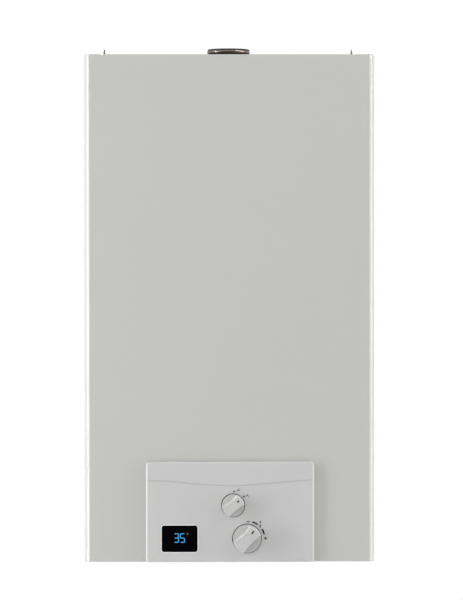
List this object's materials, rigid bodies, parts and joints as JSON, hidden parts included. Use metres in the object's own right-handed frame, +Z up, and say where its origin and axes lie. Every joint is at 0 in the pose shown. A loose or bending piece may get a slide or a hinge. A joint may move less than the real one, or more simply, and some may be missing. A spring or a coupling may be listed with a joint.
{
  "type": "tankless water heater",
  "caption": "Wall-hung gas tankless water heater with a fan, a folded steel cover and a control panel with rotary knobs and a display.",
  "frame": {"origin": "on the wall, in the middle of the rear face of the bracket that the heater hangs on", "axes": "+X to the right seen from the front, +Y into the wall, +Z up"},
  "size_m": [0.35, 0.218, 0.6285],
  "materials": {
    "cover_paint": "satin white powder paint",
    "zinc_sheet": "zinc-coated sheet",
    "plated_steel": "bright plated steel",
    "white_plastic": "fine satin moulding",
    "black_plastic": "matt moulding",
    "display_gloss": "polished dark window",
    "circuit_board": "green solder mask",
    "stainless_flue": "polished stainless steel",
    "rubber_seal": "matt",
    "red_silicone": "satin",
    "bare_aluminium": "die-cast",
    "copper": "bare copper, dulled by heat",
    "brass_fitting": "machined",
    "ceramic": "unglazed"
  },
  "bodies": {
    "casing": {"front_cover": "cover_paint", "top_plate": "cover_paint", "wall_bracket": "zinc_sheet", "rear_panel": "zinc_sheet", "bottom_plate": "zinc_sheet", "cover_stud_left": "plated_steel", "cover_stud_right": "plated_steel", "cap_nut_left": "plated_steel", "cap_nut_right": "plated_steel", "cover_screw_left": "plated_steel", "cover_screw_right": "plated_steel", "cable_gland": "black_plastic", "control_panel": "white_plastic", "display_window": "display_gloss", "control_box": "black_plastic", "control_board": "circuit_board", "display_module": "black_plastic", "mode_switch": "black_plastic", "temperature_dial": "plated_steel", "flue_collar": "stainless_flue", "collar_gasket": "rubber_seal", "fan_housing": "zinc_sheet", "fan_motor": "black_plastic", "flue_hood": "zinc_sheet", "pressure_switch": "black_plastic", "pressure_tube": "red_silicone", "chamber_shell": "copper", "fin_block": "copper", "return_bend_left": "copper", "return_bend_right": "copper", "chamber_coil": "copper", "cold_pipe": "copper", "hot_pipe": "copper", "overheat_thermostat": "plated_steel", "temperature_probe": "brass_fitting", "chamber_bracket_left": "zinc_sheet", "chamber_bracket_right": "zinc_sheet", "burner_tray": "zinc_sheet", "burner_comb": "plated_steel", "gas_manifold": "brass_fitting", "ignition_electrode": "ceramic", "flame_electrode": "ceramic", "ignition_lead": "red_silicone", "igniter": "black_plastic", "hot_outlet": "brass_fitting", "gas_inlet": "brass_fitting", "cold_inlet": "brass_fitting", "inlet_filter": "white_plastic", "flow_sensor": "black_plastic", "gas_valve": "bare_aluminium", "solenoid_coil": "black_plastic", "gas_pipe": "copper"},
    "mode_control": {"mode_knob": "white_plastic", "mode_shaft": "white_plastic"},
    "temperature_control": {"temperature_knob": "white_plastic", "temperature_shaft": "white_plastic"},
    "fan": {"fan_wheel": "bare_aluminium", "fan_shaft": "plated_steel"},
    "flow_turbine": {"flow_rotor": "white_plastic"},
    "plunger": {"valve_plunger": "plated_steel"}
  },
  "joints": [
    {"name": "mode_turn", "type": "hinge", "parent": "casing", "child": "mode_control", "pos_m": [0.0041, -0.205, -0.4794], "axis": [0, -1, 0], "range_deg": [0, 50]},
    {"name": "temperature_turn", "type": "hinge", "parent": "casing", "child": "temperature_control", "pos_m": [0.0208, -0.205, -0.5195], "axis": [0, -1, 0], "range_deg": [-45, 41]},
    {"name": "fan_spin", "type": "hinge", "parent": "casing", "child": "fan", "pos_m": [-0.047, -0.0923, 0], "axis": [0, 1, 0], "continuous": true},
    {"name": "flow_spin", "type": "hinge", "parent": "casing", "child": "flow_turbine", "pos_m": [0.1, -0.07, -0.4807], "axis": [0, 0, 1], "continuous": true},
    {"name": "plunger_slide", "type": "slide", "parent": "casing", "child": "plunger", "axis": [0, 0, 1], "range_m": [0, 0.003], "stiffness_N_per_m": 300, "springref_m": -0.008}
  ]
}
